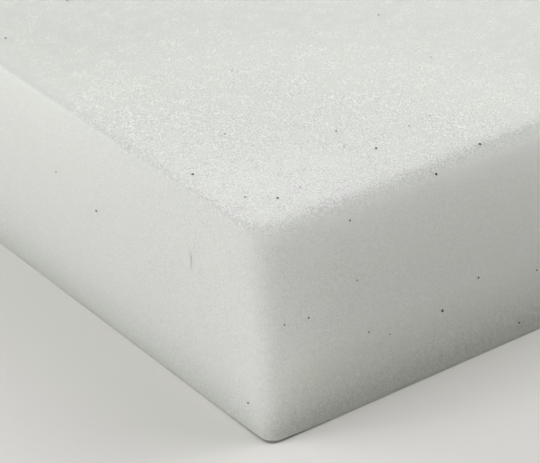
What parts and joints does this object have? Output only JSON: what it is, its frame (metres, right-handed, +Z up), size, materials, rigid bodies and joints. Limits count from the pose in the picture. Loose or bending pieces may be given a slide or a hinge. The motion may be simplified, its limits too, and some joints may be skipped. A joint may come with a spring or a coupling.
{
  "type": "foam block",
  "caption": "Rectangular slab of white fine-celled flexible foam with knife-cut faces, soft edges and a flat base.",
  "frame": {"origin": "middle of the underside", "axes": "+X along the block's length, +Y along its width, +Z up through its thickness"},
  "size_m": [0.2, 0.15, 0.05],
  "materials": {
    "foam": "open-celled white polyurethane foam, knife-cut, matt with fine glints"
  },
  "bodies": {
    "root": {"foam_block": "foam"}
  },
  "joints": []
}
